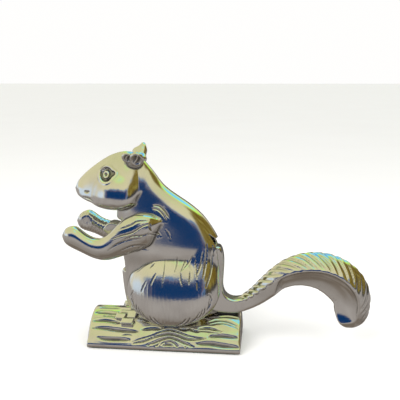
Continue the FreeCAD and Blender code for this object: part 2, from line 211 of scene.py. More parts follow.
def polygon_field(x, z, points):
    """Signed distance in the x, z plane to a closed outline."""
    points = np.array(points, dtype=float)
    d, _ = line_distance(x, z, np.vstack([points, points[:1]]))
    inside = np.zeros(x.shape, dtype=bool)
    for (ax, az), (bx, bz) in zip(points, np.roll(points, -1, axis=0)):
        if az == bz:
            continue
        crosses = ((az > z) != (bz > z)) & (x < (bx - ax) * (z - az) / (bz - az) + ax)
        inside ^= crosses
    return np.where(inside, -d, d)


def gradient(field, p, h=0.05):
    slope = np.empty_like(p)
    for axis in range(3):
        step = np.zeros(3)
        step[axis] = h
        slope[:, axis] = (field(p + step) - field(p - step)) / (2 * h)
    return slope


def curvature(field, p, h=0.6):
    """How strongly the surface bulges, per millimetre: positive on edges, negative in grooves."""
    total = -6.0 * field(p)
    for axis in range(3):
        step = np.zeros(3)
        step[axis] = h
        total += field(p + step) + field(p - step)
    return total / h ** 2


def mesh_field(field, low, high, pitch):
    """Points and four-sided faces of a field's zero surface, worked out finely only near it."""
    coarse = 4
    block = pitch * coarse
    low = np.array(low, dtype=float)
    cells = np.ceil((np.array(high) - low) / block).astype(int) + 1
    axes = [low[a] + block * np.arange(cells[a]) for a in range(3)]
    grid = np.stack(np.meshgrid(*axes, indexing="ij"), axis=-1).reshape(-1, 3)
    rough = field(grid).reshape(cells)
    size = (cells - 1) * coarse + 1
    index = [np.minimum((np.arange(size[a]) + coarse // 2) // coarse, cells[a] - 1) for a in range(3)]
    fine = rough[np.ix_(*index)].copy()
    near = np.abs(fine) < 2.1 * block
    fine[near] = field(low + np.argwhere(near) * pitch)
    volume = openvdb.FloatGrid(10.0)
    volume.copyFromArray(np.ascontiguousarray(fine, dtype=np.float32))
    points, quads = volume.convertToQuads()
    points = low + np.array(points, dtype=float) * pitch
    # Three short steps slide the points onto the exact surface.
    longest = 0.3 * pitch
    for _ in range(3):
        slope = gradient(field, points)
        square = np.maximum((slope ** 2).sum(axis=1), 0.2)
        move = -(field(points) / square)[:, None] * slope
        length = np.linalg.norm(move, axis=1, keepdims=True)
        points += move * np.minimum(1.0, longest / np.maximum(length, 1e-9))
    return points, np.array(quads)[:, ::-1]


def sculpt(name, field, low, high, pitch, body, nodes):
    """Meshes a field, notes where it is hollow or edged, parents the piece to its body and hides the CAD
    nodes it replaces.
    """
    points, quads = mesh_field(field, low, high, pitch)
    mesh = bpy.data.meshes.new(name)
    mesh.from_pydata((points * MM).tolist(), [], quads.tolist())
    # hollow and edge drive the material's colour: painted shade in recesses (with tarnish in the fine
    # grooves) and a painted highlight on ridges.
    bulge, wide_bulge = curvature(field, points), curvature(field, points, 1.4)
    hollow = np.maximum(-bulge - 0.25, -2.4 * wide_bulge - 0.3)
    edge = 0.5 * bulge - 0.25
    for label, value in (("hollow", hollow), ("edge", edge)):
        layer = mesh.attributes.new(label, "FLOAT", "POINT")
        layer.data.foreach_set("value", np.clip(value, 0, 1).astype(np.float32))
    piece = bpy.data.objects.new(name, mesh)
    bpy.context.scene.collection.objects.link(piece)
    outward_faces(piece)
    print(name, len(points), "points", len(quads), "faces", flush=True)
    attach(piece, body)
    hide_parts(*nodes)
    return piece


def outward_faces(piece):
    """Turns the faces outward if the mesh came out inside out, and drops crumbs that float free."""
    shape = bmesh.new()
    shape.from_mesh(piece.data)
    seen = set()
    islands = []
    for vert in shape.verts:
        if vert in seen:
            continue
        stack, island = [vert], []
        seen.add(vert)
        while stack:
            at = stack.pop()
            island.append(at)
            for edge in at.link_edges:
                other = edge.other_vert(at)
                if other not in seen:
                    seen.add(other)
                    stack.append(other)
        islands.append(island)
    islands.sort(key=len)
    for island in islands[:-1]:
        bmesh.ops.delete(shape, geom=island, context="VERTS")
    if shape.calc_volume(signed=True) < 0:
        bmesh.ops.reverse_faces(shape, faces=shape.faces)
    shape.to_mesh(piece.data)
    shape.free()
    piece.data.shade_smooth()


# ---------------------------------------------------------------------------------------------
# Squirrel
# ---------------------------------------------------------------------------------------------
# Stacked forms. Trunk: z, front x, back x, middle y, half width.
TRUNK = [
    (14, -20, 24, 0, 14), (20, -28, 30, 0, 14.8), (28, -33, 34, 0, 15.6), (38, -35.5, 41, 0, 15.9),
    (48, -36.8, 44.5, 0, 15.7), (58, -37.6, 45.4, 0, 15.2), (68, -38.6, 46, 0, 15.2),
    (76, -39.4, 46.2, 0, 16.9), (83, -39.8, 45.4, 0, 16.4), (89, -40.2, 42.4, 0, 15.5),
    (95, -40.6, 39.2, 0, 14.7), (101, -41, 35.2, 0, 14.0), (107, -41.2, 30.8, 0, 13.3),
    (113, -40.6, 24.4, 0, 12.4), (118, -39, 17.6, 0, 11.5), (123, -36, 9.6, 0, 10.7),
    (129, -34, 0.4, 0, 9.7), (134, -33, -4.2, 0, 8.5), (140, -32, -8.2, 0, 7.0), (146, -31, -12.6, 0, 5.2),
    (151, -30, -17.5, 0, 3.6),
]
# Head: x, low z, high z, middle y, half width.
HEAD = [
    (-75.2, 126.8, 129.4, 0, 1.2), (-74.5, 124.4, 131.8, 0, 3.0), (-72.5, 122.0, 134.6, 0, 5.0),
    (-69.5, 120.2, 137.8, 0, 6.8), (-65, 117.8, 142.0, 0, 8.6), (-59, 115.8, 146.8, 0, 11.0),
    (-52, 114.0, 151.6, 0, 14.0), (-45, 112.6, 155.6, 0, 16.4), (-38, 112.2, 158.0, 0, 17.6),
    (-32, 113.2, 158.8, 0, 17.6), (-27, 116.0, 158.2, 0, 15.8), (-23, 120.0, 156.2, 0, 12.8),
    (-18.5, 126.0, 151.6, 0, 9.2), (-15, 131.0, 146.0, 0, 5.0), (-13, 135.0, 141.0, 0, 2.0),
]
# Arm: x, low z, high z, middle y, half width.
ARM = [
    (-81.6, 91.0, 93.0, 20, 0.8), (-80.8, 88.2, 95.8, 20, 3.2), (-78.8, 85.8, 98.2, 20, 5.0),
    (-75, 83.4, 100.2, 20, 6.3), (-70, 81.0, 100.6, 20, 6.7), (-66, 79.2, 97.4, 20, 6.6),
    (-61, 76.8, 93.6, 20, 6.5), (-56, 74.6, 91.2, 20, 6.5), (-50, 73.2, 90.8, 20, 6.7),
    (-46, 73.0, 92.4, 19.8, 6.9), (-41, 73.8, 97.0, 19.4, 7.3), (-36, 75.4, 102.8, 18.8, 7.8),
    (-30, 77.4, 107.8, 17.8, 8.2), (-22, 80.0, 110.8, 16.4, 8.4), (-14, 83.8, 110.6, 15.2, 8.2),
    (-10, 85.6, 109.8, 14.6, 7.6), (-8, 89.0, 108.6, 14.0, 6.2), (-6, 95.0, 107.2, 13.2, 4.4),
    (-3, 101.0, 106.0, 12.4, 2.6),
]
THIGH_CREST = [
    (-34, 46), (-30, 55), (-27, 60), (-21, 64.2), (-15.5, 68.4), (-7.5, 72), (2, 74.8), (10.5, 77.3),
    (22, 79),
]
# The slot that the lever swings in, as an outline in the x, z plane.
SLOT = [
    (70, 16), (29.5, 20), (29.5, 30.5), (22.5, 36.5), (14, 43), (2, 44.3), (-8, 48.5), (-20, 54),
    (-34, 60.5), (-60, 66), (-60, 102.6), (-37, 102.6), (-23, 95.5), (-7, 84), (4, 78.5), (13, 81),
    (22, 89.5), (29, 97.4), (35.2, 93.6), (40.2, 89.2), (70, 89.2),
]
SLOT_HALF = (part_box("pivot_washer_far")[1][1] / MM) + 0.03
# Radius of the pin's hole, how far it reaches into the near flank, and the height of the underside.
PIN_HOLE = 4.12
PIN_NEAR_END = 17.1
SEAT = 15.0


def arm_field(x, y, z):
    """Both arms. The far paw is held a little higher, and fine ripples inside the far arm make the material
    paint shade there.
    """
    side = np.abs(y)
    lift = np.where(y > 0, 5.8 * ramp(-x, 38, 56) - 2.2 * ramp(-x, 64, 80), 0.0)
    up = z - lift
    d = tower(x, up, side, ARM, sigma=1.6, power=2.1)
    # Ripples inside the far arm: their curvature makes the material darken it with painted shade, where the
    # arm faces the chest.
    rough = (y > 0) * ramp(-x, 30, 40) * ramp(-side, -22.0, -20.0)
    d += 0.13 * rough * np.sin(2.3 * x + 1.5 * np.sin(1.1 * z)) * np.sin(1.9 * up + 0.6 * x)
    # The paw's pad is hollowed a little where it faces the nut.
    palm = ellipsoid(np.stack([x, side, up], axis=1), (-72.5, 12.2, 93.5), (5.5, 2.2, 7.0))
    return cut(d, palm, 1.5)


EAR_LEAN = Matrix.Rotation(math.radians(-24), 3, "X")
# Ellipsoids of the near ear, each as its centre and radii, and the raised folds inside its cups.
FRONT_CUP = ((-28.8, 11.2, 154.8), (4.8, 2.8, 4.6))
FRONT_DISH = ((-28.4, 14.0, 154.2), (3.5, 2.4, 3.3))
REAR_CUP = ((-21.4, 11.8, 153.6), (6.0, 3.2, 6.2))
REAR_DISH = ((-21.2, 15.0, 152.8), (4.6, 2.8, 4.8))
NEAR_ROOT = ((-24.0, 6.8, 150.4), (6.6, 5.2, 4.6))
EAR_FOLDS = [
    ([(-27.3, 157.1), (-29.5, 154.5), (-29.5, 152.4)], -1.1, 0.7),
    ([(-19.7, 156.9), (-21.1, 153.3), (-23.0, 151.0)], -1.5, 0.8),
]
# Ellipsoids of the far ear.
FAR_CUP = ((-24.0, 11.0, 156.8), (6.0, 2.6, 4.8))
FAR_TIP = ((-21.0, 12.0, 160.0), (2.6, 2.0, 5.0))
FAR_ROOT = ((-23.4, 6.8, 151.6), (6.4, 5.2, 4.6))


def ear_field(p):
    """Ears that lean outward: two overlapping cups on the near side, a pointed one on the far side."""
    x, side, z = p[:, 0], np.abs(p[:, 1]), p[:, 2]
    q = np.stack([x, side, z], axis=1)

    def form(part, turn=EAR_LEAN):
        centre, radii = part
        return ellipsoid(q, centre, radii, turn)

    near = cut(form(FRONT_CUP), form(FRONT_DISH), 0.5)
    near = join(near, cut(form(REAR_CUP), form(REAR_DISH), 0.5), 0.4)
    for points, depth, width in EAR_FOLDS:
        near = engrave(near, x, z, points, depth, width, side > 9.5)
    near = join(near, form(NEAR_ROOT, None), 1.6)
    far = join(form(FAR_CUP), form(FAR_TIP), 3.6)
    far = join(far, form(FAR_ROOT, None), 3.0)
    return np.where(p[:, 1] < 0, near, far)


# Egg shapes as centre, radii and the height of the lower half.
CHEEK = ((-40.5, 8.0, 119.2), (18.0, 11.4, 22.0), 6.9)
HAUNCH = ((6.5, 12.0, 46.0), (37.5, 16.4, 33.0), 20.0)
CREST_X, CREST_Z = bend(THIGH_CREST).T


def haunch_field(x, side, z):
    """The big thigh: a rounded form that ends upward in a crisp crest and melts into the back."""
    # The form is fullest low down, so it is sheared: the further out, the lower it sits.
    sheared = z + (side - HAUNCH[0][1])
    d = egg(x, side, sheared, *HAUNCH)
    crest = np.interp(x, CREST_X, CREST_Z) + 40.0 * ramp(x, 20, 34)
    return cut(d, crest - z, 1.0)


def block(x, side, z, middle, half, round_by):
    """A box with rounded edges."""
    reach = [np.abs(value - m) - h + round_by for value, m, h in zip((x, side, z), middle, half)]
    outside = np.sqrt(sum(np.maximum(r, 0.0) ** 2 for r in reach))
    return outside + np.minimum(np.maximum.reduce(reach), 0.0) - round_by


# Toes: x, side and z of the middle, half length along x and half length down the slope.
TOES = [(-31.4, 10.4, 23.8, 7.5, 3.4), (-36.6, 14.4, 23.4, 4.0, 2.4), (-30.4, 18.3, 20.8, 5.0, 2.5)]
TOE_TILT = math.radians(57)
TOE_THICK = 2.2
TOE_SKEW = 0.35


def foot_field(x, side, z):
    """Three squarish toes laid over the log's shoulder in steps."""
    sine, cosine = math.sin(TOE_TILT), math.cos(TOE_TILT)
    out, down = side * sine + z * cosine, side * cosine - z * sine
    d = np.full(x.shape, 9.0)
    for toe_x, toe_side, toe_z, half_x, half_down in TOES:
        toe_out, toe_down = toe_side * sine + toe_z * cosine, toe_side * cosine - toe_z * sine
        skewed = x + TOE_SKEW * (down - toe_down)
        middle, half = (toe_x, toe_down, toe_out), (half_x, half_down, TOE_THICK)
        d = np.minimum(d, block(skewed, down, out, middle, half, 0.8))
    return d


# Locks that hang from the thigh's crest.
LOCKS = [
    [(-7, 70.7), (-9, 68.8), (-11, 66.5)], [(-5.6, 63.5), (-8, 58.5), (-10, 53.5)],
    [(-13.6, 56.6), (-15.6, 52.6), (-17.3, 48.3)], [(0.9, 74.2), (0.8, 64.5), (-0.2, 53.9)],
    [(10.7, 76.9), (10.6, 70), (9.4, 64.8)], [(17.3, 74), (16, 69.5), (14, 65)],
    [(23.5, 78.1), (20.4, 72.4), (15, 65.8)], [(25, 76.6), (26.6, 67), (27.3, 60)],
    [(31.2, 80), (29.7, 70.4), (26.6, 62)], [(21.1, 66), (21.5, 61), (21, 55.5)],
    [(27.3, 58.2), (27.8, 54.5), (27.7, 51)], [(14, 65), (14.6, 59.5), (16, 54.5)],
    [(33.9, 86.4), (33.5, 72), (32, 60)], [(38.5, 80), (37.6, 64), (34.3, 52.8)],
    [(36, 95), (38.6, 86), (39.6, 76)],
]


def fur_lines():
    """Engraved hair as (points, depth, width), drawn in the x, z plane."""
    lines = []

    def add(points, depth=0.45, width=0.55):
        lines.append((points, depth, width))

    # Crescents at the shoulder and the elbow.
    add([(-8.6, 117), (-3.4, 116), (1.2, 111.8), (4.6, 106.6)], 0.8, 0.7)
    add([(-10, 114.6), (-4.5, 113.4), (-0.5, 109.6), (2, 104.6)], 0.6, 0.6)
    add([(-8.2, 97.2), (-5.3, 95.5), (-2.4, 92.6)], 0.6, 0.5)
    add([(-11.7, 96.5), (-7.6, 94.8), (-4.2, 92)], 0.6, 0.5)
    add([(1.7, 98.1), (4.2, 94.1), (5.9, 88.8)], 0.35, 0.4)
    # Sleeve hair, flowing from the elbow to the shoulder.
    add([(-34, 99.5), (-24, 103.3), (-20, 105.7), (-10.9, 106.5)], 0.5, 0.55)
    add([(-40, 92), (-32.8, 94.7), (-23.3, 97.4), (-15.6, 102.3), (-9.8, 104)], 0.6, 0.6)
    add([(-32.3, 91.2), (-23.4, 94.4), (-14.6, 95.2), (-10, 97.6)], 0.55, 0.55)
    add([(-43, 82.6), (-36, 88), (-27, 91.6), (-17, 92.6)], 0.45, 0.7)
    add([(-33, 82.6), (-24, 86.4), (-14, 87)], 0.5, 0.6)
    add([(-28, 79.8), (-20, 82), (-12, 81.4)], 0.4, 0.55)
    add([(-9.4, 104), (-9.8, 101.4), (-8.7, 98.3)], 0.7, 0.6)
    for points in LOCKS:
        add(points, 0.5, 0.5)
    # Short hair round the foot of the thigh, pointing down at its middle.
    for turn in (-1, 1):
        for k in range(8):
            angle = math.radians(98 + 10.5 * k)
            root = angle - math.radians(13 + 4 * (k % 3))
            end_x, end_z = 6 + turn * 33.0 * math.sin(angle), 45 + 23.0 * math.cos(angle)
            root_x, root_z = 6 + turn * 31.0 * math.sin(root), 46 + 19.0 * math.cos(root)
            middle = (0.5 * (end_x + root_x) + turn * 0.8, 0.5 * (end_z + root_z) - 0.8)
            add([(end_x, end_z), middle, (root_x, root_z)], 0.55, 0.6)
    return lines


FUR = fur_lines()
EYE = (-46.8, 140.9)
MOUTH = [(-67.5, 121.8), (-63, 121.3), (-59.5, 120.3), (-56.8, 118.6)]
NOSTRIL = [(-65.6, 126.9), (-63.8, 126.0), (-61.2, 126.6)]


def eye_relief(x, z):
    """Height added over the head at an eye: a rim with a pointed rear corner, a moat and a ringed pupil."""
    dx, dz = x - EYE[0], z - EYE[1]
    far = np.hypot(dx, dz)
    corner = np.exp(-((np.arctan2(dz, dx) - 0.15) / 0.34) ** 2)
    r = far - 2.4 * corner * ramp(far, 3.5, 7.5)
    rim = 0.4 * np.exp(-((r - 6.5) / 0.9) ** 2)
    moat = -2.1 * ramp(r, 2.4, 3.6) * ramp(-r, -5.9, -4.4)
    ring = 0.35 * ramp(-r, -3.0, -2.4)
    pit = -0.9 * ramp(-r, -1.7, -0.8)
    return rim + moat + ring + pit


def head_field(x, y, z):
    """Head with its cheeks, eyes, mouth and nostrils."""
    side = np.abs(y)
    d = tower(x, z, y, HEAD, sigma=1.5, power=1.5, level=0.12)
    d = join(d, egg(x, side, z, *CHEEK), 3.0)
    # The nose is a little fuller than the muzzle behind it.
    d -= 0.5 * np.exp(-((x + 71.5) / 2.6) ** 2) * np.exp(-((z - 129.5) / 3.0) ** 2)
    eye = (np.abs(x - EYE[0]) < 13) & (np.abs(z - EYE[1]) < 12) & (side > 6)
    d[eye] -= eye_relief(x[eye], z[eye])
    face = side > 1.5
    d = engrave(d, x, z, MOUTH, 0.8, 0.55, face)
    return engrave(d, x, z, NOSTRIL, 0.9, 0.7, face)


def squirrel_field(p):
    x, y, z = p[:, 0], p[:, 1], p[:, 2]
    side = np.abs(y)
    trunk = tower(z, x, y, TRUNK, sigma=3.2, power=2.3)
    d = join(head_field(x, y, z), trunk, 0.9 + 2.6 * ramp(x, -26, -16))
    d = join(d, haunch_field(x, side, z), 0.5 + 11.0 * ramp(x, 16, 30))
    d = join(d, arm_field(x, y, z), 0.7 + 1.4 * ramp(x, -14, -6))
    ears = (z > 143) & (x > -38)
    d[ears] = join(d[ears], ear_field(p[ears]), 0.7)
    d = join(d, foot_field(x, side, z), 0.3)
    flank = side > 9.0
    for points, depth, width in FUR:
        d = engrave(d, x, z, points, depth, width, flank, lip=0.12)
    # Shallow locks over the lower thigh, too soft to be engraved.
    thigh = ramp(-np.hypot((x - 5) / 36, (z - 38) / 24), -1.0, -0.7) * (side > 14)
    d += 0.035 * thigh * (np.sin(x * 1.9 + 1.6 * np.sin(z * 0.16)) + 0.8 * np.sin(x * 3.3 + 0.11 * z))
    # The slot's edges are well rounded where it opens in the chest.
    slot = np.maximum(polygon_field(x, z, SLOT), side - SLOT_HALF)
    d = cut(d, slot, 0.6 + 3.0 * ramp(-x, 32, 38))
    pin = np.maximum(np.hypot(x - PIVOT[0], z - PIVOT[2]) - PIN_HOLE, -PIN_NEAR_END - y)
    d = np.maximum(d, -pin)
    return np.maximum(d, SEAT - z)


# ---------------------------------------------------------------------------------------------
# Tail lever
# ---------------------------------------------------------------------------------------------
# Flat plate, upright leg and tongue: outline in the x, z plane.
PLATE = [
    (-52, 94), (-47, 100.2), (-38, 99.2), (-24, 92), (-8, 80.2), (7, 74.6), (22, 77.4), (35, 81.8),
    (43, 82.6), (45.8, 79.4), (47.2, 72), (47.2, 64), (46.7, 56), (46.6, 47.4), (49, 41.2), (54.2, 38.2),
    (61, 38.4), (67, 41.6), (74, 47), (79, 48), (79, 42), (74, 34.6), (66, 29.6), (57, 26.9), (48, 26.9),
    (39.5, 28), (32, 32), (24.5, 38.5), (15, 45.4), (3, 47.6), (-8, 55.8), (-18, 66.6), (-30, 78.5),
    (-40, 86.6), (-47.5, 88.6),
]
# Tail stations: outer x and z, inner x and z, half width, and how far out the fur's edge lies, 0 to 1.
TAIL = [
    (57.5, 38.6, 58.5, 26.9, 6.7, 0.90), (62, 39.6, 64.5, 28.6, 6.8, 0.84),
    (67.5, 43.4, 71.5, 31.4, 6.9, 0.76), (74, 50.0, 80, 36.4, 7.4, 0.70),
    (80.5, 57.6, 87.8, 42.6, 8.3, 0.64), (88.5, 65.6, 95.8, 48.4, 9.5, 0.60),
    (98.5, 72.8, 103.8, 51.0, 10.5, 0.58), (109, 77.0, 111.0, 51.6, 11.1, 0.575),
    (120, 78.7, 118, 50.8, 11.4, 0.58), (131.4, 77.9, 124.6, 48.6, 11.5, 0.60),
    (142.6, 74.1, 130.2, 44.8, 11.5, 0.62), (152.2, 67.6, 133.8, 41.2, 11.3, 0.635),
    (159.6, 59, 135.8, 38.4, 11.0, 0.65), (164.0, 49.5, 136.8, 36.2, 10.6, 0.665),
    (165.3, 41, 137.2, 34.6, 10.2, 0.67), (164.9, 34.4, 137.5, 33.4, 9.8, 0.67),
]
# The tail ends in a rounded spoon this long past the last station.
TIP = 17.6
# Length along the tail from one fur ridge to the next.
FUR_PITCH = 5.8
# Half the thickness of metal left between the hollows in the tail's two flanks.
WEB = 3.4


def tail_tables():
    """The tail's middle line and its section sizes against the length run along it."""
    rows = np.array(TAIL, dtype=float)
    outer, inner = rows[:, 0:2], rows[:, 2:4]
    middle = (outer + inner) / 2
    run = np.concatenate([[0], np.cumsum(np.linalg.norm(np.diff(middle, axis=0), axis=1))])
    deep = np.linalg.norm(outer - inner, axis=1) / 2
    table = np.column_stack([run, middle, deep, rows[:, 4], rows[:, 5]])
    beyond = table[-1] + TIP * np.array([1.0, 0.0, -1.0, 0.0, 0.0, 0.0])
    t, (x, z, deep, wide, rim) = smooth_table(np.vstack([table, beyond]), 2.5)
    fine = np.linspace(t[0], t[-1], 900)
    x, z, deep, wide, rim = (np.interp(fine, t, column) for column in (x, z, deep, wide, rim))
    slope = np.stack([np.gradient(x, fine), np.gradient(z, fine)], axis=1)
    slope /= np.linalg.norm(slope, axis=1, keepdims=True)
    tx, tz = slope.T
    return {"t": fine, "x": x, "z": z, "tx": tx, "tz": tz, "deep": deep, "wide": wide, "rim": rim}


TAIL_TABLE = tail_tables()


def tail_place(x, z):
    """How far along the tail each point lies, and how far out from its middle line."""
    table = TAIL_TABLE
    t = table["t"]
    step = 30
    best = np.full(x.shape, 1e9)
    along = np.zeros(x.shape)
    for k in range(0, len(t), step):
        d = (x - table["x"][k]) ** 2 + (z - table["z"][k]) ** 2
        nearer = d < best
        best = np.where(nearer, d, best)
        along = np.where(nearer, t[k], along)
    for _ in range(8):
        dx = x - np.interp(along, t, table["x"])
        dz = z - np.interp(along, t, table["z"])
        ahead = dx * np.interp(along, t, table["tx"]) + dz * np.interp(along, t, table["tz"])
        along = np.clip(along + 0.75 * ahead, t[0], t[-1])
    tx, tz = np.interp(along, t, table["tx"]), np.interp(along, t, table["tz"])
    dx = x - np.interp(along, t, table["x"])
    dz = z - np.interp(along, t, table["z"])
    return along, -dx * tz + dz * tx, dx * tx + dz * tz


def fur_height(along, around, start):
    """Long ridges that slant across the crown, each dropping sharply at its free edge: 0 to 1."""
    sweep = 0.45 + 0.55 * ramp(along, start + 20, start + 60)
    phase = (along - sweep * around + 0.25 * np.sin(along * 0.37)) / FUR_PITCH
    t = phase - np.floor(phase)
    ridge = ease(t / 0.55) * (1.0 - ease((t - 0.72) / 0.28))
    crease = np.exp(-((t - 0.36) / 0.06) ** 2)
    return ridge - 0.25 * crease


def furred_crown(along, up, side, height, wide):
    """A crown over straight sides, with fur standing a little proud of it. up is measured from the rim."""
    start, end = TAIL_TABLE["t"][0], TAIL_TABLE["t"][-1]
    height, width = np.maximum(height, 0.3), np.maximum(wide, 0.2)
    power = 1.45
    u, v = np.maximum(up, 0.0) / height, side / width
    size = (u ** power + v ** power) ** (1 / power) + 1e-9
    slope_u = (u / size) ** (power - 1) / height
    slope_v = (v / size) ** (power - 1) / width
    dome = np.where(up > 0, (size - 1.0) / (np.hypot(slope_u, slope_v) + 1e-9), side - wide)
    # Just above the rim the crown leans in like a roof.
    lean = math.radians(34)
    dome = cut(dome, (wide - side) * math.cos(lean) - up * math.sin(lean), 1.0)
    around = np.arctan2(v, u + 1e-6) / (math.pi / 2) * 15.0
    locks = fur_height(along, around, start)
    # At the root the locks hang over the rim; further out they fade towards it.
    later = ramp(along, start + 28, start + 50)
    first = start + 5.0 + 2.5 * side / 7.0
    furred = ramp(along, first, first + 2.5) * ramp(-along, -end, -end + 8.0)
    furred = furred * ramp(up + 0.8 * (1.0 - later) * locks, 0.0, 0.8)
    calm = 1.0 - 0.85 * later * ramp(-up, -5.0, 0.0)
    return dome - furred * (0.2 + 0.5 * locks * calm)


def flank_hollow(along, out, side, full, flank, brim):
    """The hollow in each flank: open at the inner edge, up to the brim, and running out towards the tip."""
    start, end = TAIL_TABLE["t"][0], TAIL_TABLE["t"][-1]
    tall = (brim + full) * ramp(along, start + 26, start + 46) + 0.02
    fade = np.sqrt(np.clip(1.0 - (np.maximum(along - (end - 30.0), 0) / 27.0) ** 2, 0.0, 1.0))
    bite = (flank - WEB) * ramp(along, start + 26, start + 40) * fade + 0.02
    a, b = (out + full) / tall, (side - flank) / bite
    size = np.hypot(a, b) + 1e-9
    hollow = size * (size - 1.0) / (np.hypot(a / tall, b / bite) + 1e-9)
    return np.where(np.minimum(tall, bite) < 0.3, 5.0, hollow)


def tail_field(x, side, z):
    along, out, ahead = tail_place(x, z)
    t = TAIL_TABLE["t"]
    full, flank, edge = (np.interp(along, t, TAIL_TABLE[key]) for key in ("deep", "wide", "rim"))
    rim = full * (2.0 * edge - 1.0)
    # The section shrinks like an ellipse towards the tip.
    before = t[-1] - TIP
    tip = np.sqrt(np.clip(1.0 - ((along - before) / TIP) ** 2, 0.0004, 1.0))
    tip = np.where(along > before, tip, 1.0)
    d = furred_crown(along, out - rim * tip, side, (full - rim) * tip, flank * tip)
    d = cut(d, out + full * tip, 3.0 * tip)
    d = cut(d, flank_hollow(along, out, side, full, flank, rim - 1.2), 0.7)
    return np.where(np.abs(ahead) > 0.02, np.hypot(np.maximum(d, 0.0), ahead) + np.minimum(d, 0.0), d)


# Half thickness of the lever's plate, and the radius of its bore.
LEVER_HALF = 6.8
LEVER_BORE = 4.06


def plate_field(x, side, z):
    outline = polygon_field(x, z, bend_closed(PLATE))
    thick = LEVER_HALF - 1.8 * ramp(x, 60, 78)
    soft = 1.6 + 1.2 * ramp(x, 40, 47) * ramp(z, 40, 50)
    d = -join(-outline, thick - side, soft)
    # Fine grip ridges across the top of the tongue.
    grip = ramp(-x, 30, 33) * ramp(z, 96, 98) * ramp(side, 6.2, 5.6)
    d += grip * 0.16 * (0.5 + 0.5 * np.cos(x * 2 * math.pi / 1.8))
    bore = np.hypot(x - PIVOT[0], z - PIVOT[2]) - LEVER_BORE
    return np.maximum(d, -bore)


def bend_closed(points):
    """A smooth closed curve through the points."""
    ring = list(points[-2:]) + list(points) + list(points[:2])
    chain = bend(ring, 4)
    return chain[8:-8]


def lever_field(p):
    x, side, z = p[:, 0], np.abs(p[:, 1]), p[:, 2]
    d = plate_field(x, side, z)
    tail = x > 52
    d[tail] = join(d[tail], tail_field(x[tail], side[tail], z[tail]), 0.5)
    return d


# ---------------------------------------------------------------------------------------------
# Log
# ---------------------------------------------------------------------------------------------
LIP = 3.2
# The log's round is struck from this far below the lip, so its flank leans inward from the start.
SINK = 24.0


def log_arc():
    """Arc length round the log's section from its foot to the crown, against the section angle."""
    half, rise = LOG_HIGH[1], LOG_HIGH[2] - LOG_LOW[2] - LIP + SINK
    angle = np.linspace(math.asin(SINK / rise), math.pi / 2, 400)
    y, z = half * np.cos(angle), rise * np.sin(angle)
    arc = LIP + np.concatenate([[0], np.cumsum(np.hypot(np.diff(y), np.diff(z)))])
    return angle, arc


LOG_ARC = log_arc()


# Gouges in the bark: points as x and the distance round the log from its foot, then depth and width.
BARK = [
    ([(-58, 35.0), (-50, 35.6), (-40, 35.2)], 0.8, 0.9),
    ([(-59, 29.0), (-51, 29.5), (-40, 28.4)], 1.5, 1.2),
    ([(-59.5, 21.4), (-49, 22.2), (-36, 20.6)], 1.5, 1.2),
    ([(-59, 15.4), (-50, 15.8), (-36, 14.7), (-21, 14.0)], 1.6, 1.25),
    ([(-54, 8.2), (-46, 7.1), (-36, 7.3), (-27, 7.2)], 1.5, 1.1),
    ([(-52, 25.4), (-46, 26.0), (-40, 25.0)], 0.5, 0.6),
    ([(-34, 10.8), (-29, 11.3), (-25, 10.9)], 0.5, 0.6),
    ([(35, 23.6), (43, 26.2), (52, 25.4), (60, 21.4)], 1.0, 1.0),
    ([(36, 21.8), (47, 24.0), (56, 21.6), (60.5, 19.4)], 0.7, 0.7),
    ([(28, 18.4), (36, 19.2), (47, 17.4)], 0.9, 0.9),
    ([(24, 16.6), (34, 16.8), (44, 15.6), (48, 17.6)], 0.6, 0.6),
    ([(37, 12.6), (46, 13.6), (60.5, 12.6)], 1.5, 1.15),
    ([(28, 6.4), (38, 7.0), (48, 6.0), (61, 5.2)], 1.6, 1.3),
    ([(-25, 6.0), (-18, 8.4), (-11, 10.8), (-2, 14.6), (5, 16.4), (12, 15.0), (22, 12.0), (35, 11.0)],
     0.8, 0.7),
    ([(-24, 4.8), (-15, 7.0), (-6, 11.2), (4, 13.4), (12, 12.4), (20, 10.2), (33, 10.4)], 1.3, 1.0),
    ([(-13, 3.8), (-5, 6.8), (1, 9.6), (6, 10.8), (12, 9.2), (19, 6.2), (25, 4.2)], 1.2, 0.85),
    ([(-12, 4.6), (-9, 2.0), (-6, 3.0), (-2, 6.6)], 0.9, 0.7),
    ([(18, 5.4), (20, 2.4), (24, 2.2), (25.5, 4.0)], 0.9, 0.7),
    ([(-2.5, 3.8), (0, 6.2), (4, 7.2), (8, 7.0), (11, 5.0), (12, 3.2), (9, 1.9), (5, 2.8), (0, 1.7),
      (-2.5, 3.8)], 0.9, 0.6),
    ([(0.5, 4.2), (4, 5.4), (8.5, 4.4)], 1.3, 1.0), ([(-18, 15.8), (-10, 17.0), (-2, 17.2)], 1.2, 1.0),
    ([(12, 18.0), (16, 17.2), (21, 18.2)], 0.8, 0.7), ([(21, 18.4), (25, 16.6), (29, 15.9)], 0.9, 0.7),
    ([(40, 33), (48, 34.4), (60, 33.6)], 0.9, 0.9), ([(42, 39), (50, 38), (60, 39.6)], 0.7, 0.8),
    ([(-60, 40), (-52, 39.4), (-44, 40.4)], 0.7, 0.8), ([(44, 29.4), (52, 30.2), (60.5, 28.6)], 0.7, 0.8),
]


